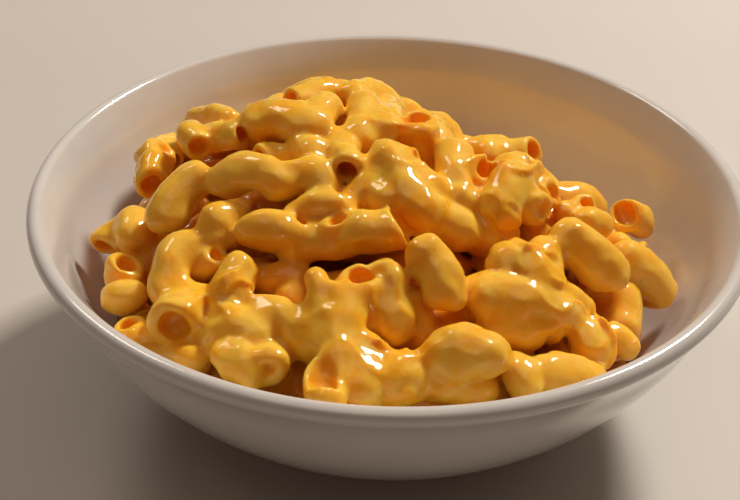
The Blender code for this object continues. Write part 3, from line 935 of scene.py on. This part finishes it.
def thin_out(item, triangles):
    """Collapse a mesh's shortest edges until it has at most that many triangles."""
    faces = sum(len(face.vertices) - 2 for face in item.data.polygons)
    if faces <= triangles:
        return
    modifier = item.modifiers.new("fewer_triangles", "DECIMATE")
    modifier.ratio = triangles / faces
    graph = bpy.context.evaluated_depsgraph_get()
    mesh = bpy.data.meshes.new_from_object(item.evaluated_get(graph))
    item.modifiers.clear()
    item.data = mesh


def set_attribute(mesh, name, values):
    """Give each of a mesh's points a number."""
    attribute = mesh.attributes.new(name, "FLOAT", "POINT")
    attribute.data.foreach_set("value", np.asarray(values, dtype=np.float32))


# ---------------------------------------------------------------- materials


def new_material(name):
    """A node material, its shader and its node tree."""
    material = bpy.data.materials.new(name)
    material.use_nodes = True
    tree = material.node_tree
    return material, tree.nodes["Principled BSDF"], tree


def add_node(tree, kind, **settings):
    """A node with its sockets' values and its properties set by name."""
    node = tree.nodes.new(kind)
    for key, value in settings.items():
        if key in node.inputs:
            node.inputs[key].default_value = value
        else:
            setattr(node, key, value)
    return node


def set_inputs(node, values):
    """Fixed values for a node's sockets, by name."""
    for key, value in values.items():
        node.inputs[key].default_value = value


def read_attribute(tree, name):
    """The socket of one of the mesh's own attributes."""
    return add_node(tree, "ShaderNodeAttribute", attribute_name=name).outputs["Fac"]


def add_bump(tree, shader, height, strength, distance):
    """A fine relief on a shader, from a socket's value, with its distance in metres."""
    bump = add_node(tree, "ShaderNodeBump", Strength=strength, Distance=distance)
    tree.links.new(height, bump.inputs["Height"])
    tree.links.new(bump.outputs["Normal"], shader.inputs["Normal"])


def rgba(color):
    """A colour with full alpha."""
    return (*color, 1.0)


def mottle_group():
    """The node group for uneven colour, shine and fine relief, in object space.

    It gives two noises, one slow and one quick, each stretched to run from 0 to 1.
    """
    name = "mottle"
    if name in bpy.data.node_groups:
        return bpy.data.node_groups[name]
    group = bpy.data.node_groups.new(name, "ShaderNodeTree")
    for label in ("Slow scale", "Quick scale", "Detail"):
        group.interface.new_socket(name=label, in_out="INPUT", socket_type="NodeSocketFloat")
    for label in ("Slow", "Quick"):
        group.interface.new_socket(name=label, in_out="OUTPUT", socket_type="NodeSocketFloat")
    inlet = add_node(group, "NodeGroupInput")
    outlet = add_node(group, "NodeGroupOutput")
    place = add_node(group, "ShaderNodeTexCoord")
    for label, scale in (("Slow", "Slow scale"), ("Quick", "Quick scale")):
        noise = add_node(group, "ShaderNodeTexNoise", Roughness=0.55)
        group.links.new(place.outputs["Object"], noise.inputs["Vector"])
        group.links.new(inlet.outputs[scale], noise.inputs["Scale"])
        group.links.new(inlet.outputs["Detail"], noise.inputs["Detail"])
        stretch = add_node(group, "ShaderNodeMapRange", **{"From Min": 0.3, "From Max": 0.7})
        group.links.new(noise.outputs["Fac"], stretch.inputs["Value"])
        group.links.new(stretch.outputs["Result"], outlet.inputs[label])
    return group


def add_mottle(tree, slow, quick, detail=3.0):
    """The mottle group in a material, with its scales."""
    node = add_node(tree, "ShaderNodeGroup", node_tree=mottle_group())
    set_inputs(node, {"Slow scale": slow, "Quick scale": quick, "Detail": detail})
    return node


def mix_color(tree, factor, first, second):
    """A colour between two, each a socket or a fixed colour, by a socket or a fixed share."""
    node = add_node(tree, "ShaderNodeMix", data_type="RGBA")
    if isinstance(factor, float):
        node.inputs["Factor"].default_value = factor
    else:
        tree.links.new(factor, node.inputs["Factor"])
    for socket, value in ((node.inputs[MIX_FIRST], first), (node.inputs[MIX_SECOND], second)):
        if isinstance(value, bpy.types.NodeSocket):
            tree.links.new(value, socket)
        else:
            socket.default_value = rgba(value)
    return node.outputs[MIX_RESULT]


def map_value(tree, value, from_min, from_max, to_min=0.0, to_max=1.0):
    """A socket's value carried from one range to another and held inside it."""
    node = add_node(tree, "ShaderNodeMapRange")
    tree.links.new(value, node.inputs["Value"])
    set_inputs(node, {"From Min": from_min, "From Max": from_max})
    set_inputs(node, {"To Min": to_min, "To Max": to_max})
    return node.outputs["Result"]


def glaze_material(settings):
    """Glossy off-white glaze, bare clay where the foot stands."""
    material, shader, tree = new_material("bowl_glaze")
    mottle = add_mottle(tree, 45.0, 900.0)
    place = add_node(tree, "ShaderNodeTexCoord")
    split = add_node(tree, "ShaderNodeSeparateXYZ")
    tree.links.new(place.outputs["Object"], split.inputs[0])
    pale = tuple(min(1.0, channel * 1.05) for channel in settings.glaze_color)
    dull = tuple(channel * 0.96 for channel in settings.glaze_color)
    glaze = mix_color(tree, mottle.outputs["Slow"], dull, pale)
    bare = map_value(tree, split.outputs["Z"], *BARE_HEIGHTS, 1.0, 0.0)
    tree.links.new(mix_color(tree, bare, glaze, settings.clay_color), shader.inputs["Base Color"])
    rough = map_value(tree, bare, 0.0, 1.0, 0.13, 0.75)
    tree.links.new(rough, shader.inputs["Roughness"])
    set_inputs(shader, {"Coat Weight": 0.4, "Coat Roughness": 0.06})
    add_bump(tree, shader, mottle.outputs["Slow"], 0.05, 0.0004)
    return material


def sauce_material(settings, name, has_attributes):
    """Thick cheese sauce: milky, with a wet skin, deeper in colour where it has gathered, and with
    painted light and shade in its colour.

    On the macaroni the colour follows the mesh's own attributes. Low is how far the relief sinks,
    which gives painted highlight on raised places and painted shade with thicker sauce in sunk
    ones. Sauce is how thick the fillet is, which gives gathered sauce and painted shade in the
    corners. Deep is how far the place lies under the dome, which gives painted shade low between
    the elbows. Hollow is whether the place is inside an elbow, which gives painted glow and shade
    there. Elsewhere the colour is mostly the dark painted shade of the core.
    """
    material, shader, tree = new_material(name)
    mottle = add_mottle(tree, 130.0, 600.0, 1.0)
    if has_attributes:
        # Partly painted highlight and shade: raised relief takes the paler sauce colour and sunk
        # relief the deeper one, which also stands for thicker sauce lying low.
        low = map_value(tree, read_attribute(tree, "low"), 0.1, 0.9, -0.1, 0.8)
        share = add_node(tree, "ShaderNodeMath", operation="MULTIPLY_ADD")
        tree.links.new(mottle.outputs["Slow"], share.inputs[0])
        share.inputs[1].default_value = 0.4
        tree.links.new(low, share.inputs[2])
        color = mix_color(tree, share.outputs["Value"], settings.sauce_color, settings.thick_and_shade_color)
        # Partly real gathered sauce, partly painted shade: thick fillets in the corners between
        # elbows take the deeper colour.
        thick = map_value(tree, read_attribute(tree, "sauce"), 0.05, 0.6)
        color = mix_color(tree, thick, color, settings.thick_and_shade_color)
        # Painted shade: the colour darkens towards the deep shade colour where the place lies far
        # under the dome.
        color = mix_color(tree, read_attribute(tree, "deep"), color, settings.deep_shade_color)
        # Painted glow and shade inside the elbows.
        color = mix_color(tree, read_attribute(tree, "hollow"), color, settings.hollow_glow_shade_color)
    else:
        color = mix_color(
            tree, mottle.outputs["Slow"], settings.sauce_color, settings.thick_and_shade_color
        )
        # Painted shade: the core's colour is nine tenths the dark core shade colour.
        color = mix_color(tree, 0.9, color, settings.core_shade_color)
    tree.links.new(color, shader.inputs["Base Color"])
    rough = map_value(tree, mottle.outputs["Slow"], 0.0, 1.0, 0.46, 0.58)
    tree.links.new(rough, shader.inputs["Roughness"])
    milky = {
        "Specular IOR Level": 0.1,
        "Subsurface Weight": 0.75,
        "Subsurface Radius": (1.0, 0.42, 0.06),
        "Subsurface Scale": 0.0028,
        "Coat Weight": 0.1,
        "Coat Roughness": 0.04,
    }
    set_inputs(shader, milky)
    if has_attributes:
        wet = map_value(tree, mottle.outputs["Quick"], 0.1, 0.7, 0.25, 1.0)
        tree.links.new(wet, shader.inputs["Coat Weight"])
    height = add_node(tree, "ShaderNodeMath", operation="MULTIPLY")
    tree.links.new(mottle.outputs["Slow"], height.inputs[0])
    tree.links.new(mottle.outputs["Quick"], height.inputs[1])
    add_bump(tree, shader, height.outputs["Value"], 0.12, 0.0005)
    return material


def floor_material(settings):
    """A plain pale floor with a faint variation."""
    material, shader, tree = new_material("floor")
    mottle = add_mottle(tree, 9.0, 300.0)
    pale = tuple(min(1.0, channel * 1.03) for channel in settings.floor_color)
    color = mix_color(tree, mottle.outputs["Slow"], settings.floor_color, pale)
    tree.links.new(color, shader.inputs["Base Color"])
    shader.inputs["Roughness"].default_value = 0.55
    return material


# ---------------------------------------------------------------- operators


class MACARONI_OT_bowl(Operator):
    """Make the glazed bowl by turning its half section"""

    bl_idname = "macaroni.make_bowl"
    bl_label = "Make Bowl"

    def execute(self, context):
        settings = context.scene.macaroni_bowl
        radii, heights = bowl_profile()
        points, faces = turned_surface(radii, heights, settings.segments)
        bowl = new_object("glazed_bowl", points, faces, glaze_material(settings))
        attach(bowl, "root")
        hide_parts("bowl")
        return {"FINISHED"}


class MACARONI_OT_core(Operator):
    """Make the sauce and hidden pasta that the elbows lie on"""

    bl_idname = "macaroni.make_core"
    bl_label = "Make Core"

    def execute(self, context):
        settings = context.scene.macaroni_food
        points, faces = core_surface()
        # The core's sauce is mostly painted shade.
        material = sauce_material(settings, "core_shade_sauce", has_attributes=False)
        core = new_object("sauce_core", points, faces, material)
        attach(core, "root")
        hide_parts("macaroni_heap")
        return {"FINISHED"}


class MACARONI_OT_macaroni(Operator):
    """Make the elbows of macaroni, fused by the sauce between them"""

    bl_idname = "macaroni.make_macaroni"
    bl_label = "Make Macaroni"

    def execute(self, context):
        settings = context.scene.macaroni_food
        room = Room(settings.grain / MM)
        field, corners, hollows, relief = macaroni_field(
            room, settings.fillet / MM, settings.wall / MM, settings.seed
        )
        points, faces = fused_surface(room, field)
        material = sauce_material(settings, "cheese_sauce", has_attributes=True)
        macaroni = new_object("macaroni", points, faces.tolist(), material)
        thin_out(macaroni, settings.triangles)
        mesh = macaroni.data
        mesh.shade_smooth()
        flat = np.empty(3 * len(mesh.vertices), dtype=np.float32)
        mesh.vertices.foreach_get("co", flat)
        places = flat.reshape(-1, 3) / MM
        # These attributes steer the painted shade, highlight and glow in the sauce's colour.
        set_attribute(mesh, "sauce", room.sample(corners, places))
        sunk = room.sample(relief, places) / FADE
        set_attribute(mesh, "low", np.clip(0.5 + sunk, 0.0, 1.0))
        depth = skin_height(places[:, 0], places[:, 1]) - places[:, 2]
        set_attribute(mesh, "deep", np.clip((depth + 1.0) / DEEP_FADE, 0.0, 1.0))
        from_hollow = room.sample(hollows, places) / FADE
        set_attribute(mesh, "hollow", np.clip(1.0 - from_hollow, 0.0, 1.0))
        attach(macaroni, "root")
        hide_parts("macaroni_heap")
        return {"FINISHED"}


def add_area_light(name, place, size, power, color):
    """A square area light that points from a place at the middle of the bowl, in metres."""
    data = bpy.data.lights.new(name, "AREA")
    data.shape = "SQUARE"
    data.size = size
    data.energy = power
    data.color = color
    item = bpy.data.objects.new(name, data)
    item.location = place
    facing = Vector(BOWL_MIDDLE) - Vector(place)
    item.rotation_euler = facing.to_track_quat("-Z", "Y").to_euler()
    bpy.context.collection.objects.link(item)


class MACARONI_OT_stage(Operator):
    """Make the floor, the lights and the camera"""

    bl_idname = "macaroni.make_stage"
    bl_label = "Make Stage"

    def execute(self, context):
        settings = context.scene.macaroni_stage
        half = FLOOR_HALF
        corners = [(-half, -half, 0.0), (half, -half, 0.0), (half, half, 0.0), (-half, half, 0.0)]
        floor = new_object("floor", corners, [(0, 1, 2, 3)], floor_material(settings))

        world = bpy.data.worlds.new("studio")
        world.use_nodes = True
        sky = world.node_tree.nodes["Background"]
        set_inputs(sky, {"Color": rgba(SKY_COLOR), "Strength": SKY_STRENGTH})
        context.scene.world = world
        # The usual transform greys the sauce's strong yellow.
        context.scene.view_settings.view_transform = "Standard"

        key = settings.key_power
        second = SECOND_SHARE * key
        add_area_light("key", (0.48, 0.63, 0.906), 0.20, key, WARM_COLOR)
        add_area_light("second", (-0.506, 0.582, 0.919), 0.30, second, WARM_COLOR)
        add_area_light("fill", (-0.1, -0.3, 1.2), 0.8, settings.fill_power, FILL_COLOR)

        place = Vector(CAMERA_PLACE)
        aim = Vector(CAMERA_AIM)
        camera = bpy.data.cameras.new("camera")
        camera.lens = CAMERA_LENS
        camera.sensor_width = SENSOR_WIDTH
        camera.clip_start = 0.01
        item = bpy.data.objects.new("camera", camera)
        item.location = place
        facing = (aim - place).to_track_quat("-Z", "Y")
        item.rotation_euler = (facing @ Quaternion((0.0, 0.0, 1.0), CAMERA_ROLL)).to_euler()
        context.collection.objects.link(item)
        context.scene.camera = item
        return {"FINISHED"}


class MACARONI_PT_panel(Panel):
    """Buttons and settings for the macaroni, its bowl and the stage"""

    bl_label = "Macaroni and Cheese"
    bl_idname = "MACARONI_PT_panel"
    bl_space_type = "VIEW_3D"
    bl_region_type = "UI"
    bl_category = "Macaroni"

    def draw(self, context):
        for label, key, operators in PANEL_ROWS:
            box = self.layout.box()
            box.label(text=label)
            settings = getattr(context.scene, key)
            for name in settings.bl_rna.properties.keys():
                if name not in ("rna_type", "name"):
                    box.prop(settings, name)
            for operator in operators:
                box.operator(operator.bl_idname)


PANEL_ROWS = (
    ("Bowl", "macaroni_bowl", (MACARONI_OT_bowl,)),
    ("Food", "macaroni_food", (MACARONI_OT_core, MACARONI_OT_macaroni)),
    ("Stage", "macaroni_stage", (MACARONI_OT_stage,)),
)
SETTINGS = {
    "macaroni_bowl": BowlSettings,
    "macaroni_food": FoodSettings,
    "macaroni_stage": StageSettings,
}
CLASSES = (
    *SETTINGS.values(),
    MACARONI_OT_bowl,
    MACARONI_OT_core,
    MACARONI_OT_macaroni,
    MACARONI_OT_stage,
    MACARONI_PT_panel,
)


def register():
    for item in CLASSES:
        bpy.utils.register_class(item)
    for key, group in SETTINGS.items():
        setattr(bpy.types.Scene, key, PointerProperty(type=group))


def unregister():
    for key in SETTINGS:
        delattr(bpy.types.Scene, key)
    for item in reversed(CLASSES):
        bpy.utils.unregister_class(item)


def main():
    register()
    bpy.ops.macaroni.make_bowl()
    bpy.ops.macaroni.make_core()
    bpy.ops.macaroni.make_macaroni()
    bpy.ops.macaroni.make_stage()


if __name__ == "__main__":
    main()
